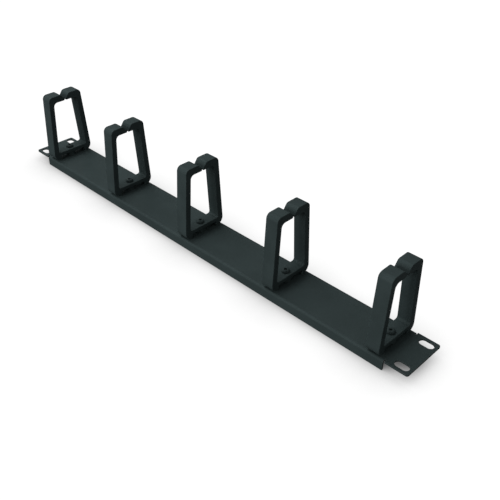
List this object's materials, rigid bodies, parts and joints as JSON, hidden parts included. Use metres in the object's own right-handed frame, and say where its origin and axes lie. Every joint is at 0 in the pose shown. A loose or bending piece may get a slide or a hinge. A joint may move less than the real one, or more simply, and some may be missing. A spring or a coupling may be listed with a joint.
{
  "type": "horizontal cable manager",
  "caption": "Horizontal rack cable manager: a folded one-unit panel with slotted ears and a row of open moulded rings that hold patch cables along its face.",
  "frame": {"origin": "middle of the panel's front face, at the centre of the four rack slots", "axes": "+X along the panel from ear to ear, +Y across the panel, up the rack when mounted, +Z out of the front face, along the rings and out of the rack"},
  "size_m": [0.4826, 0.0452, 0.0797],
  "materials": {
    "panel_paint": "satin black powder coat with a fine texture on folded steel sheet",
    "ring_plastic": "satin black moulded plastic with a fine grain",
    "screw_black": "black coated steel, slightly glossy",
    "plated_steel": "bright zinc plating"
  },
  "bodies": {
    "root": {"panel": "panel_paint", "ring_1": "ring_plastic", "ring_screw_1": "screw_black", "washer_1": "plated_steel", "nut_1": "plated_steel", "ring_2": "ring_plastic", "ring_screw_2": "screw_black", "washer_2": "plated_steel", "nut_2": "plated_steel", "ring_3": "ring_plastic", "ring_screw_3": "screw_black", "washer_3": "plated_steel", "nut_3": "plated_steel", "ring_4": "ring_plastic", "ring_screw_4": "screw_black", "washer_4": "plated_steel", "nut_4": "plated_steel", "ring_5": "ring_plastic", "ring_screw_5": "screw_black", "washer_5": "plated_steel", "nut_5": "plated_steel"}
  },
  "joints": []
}
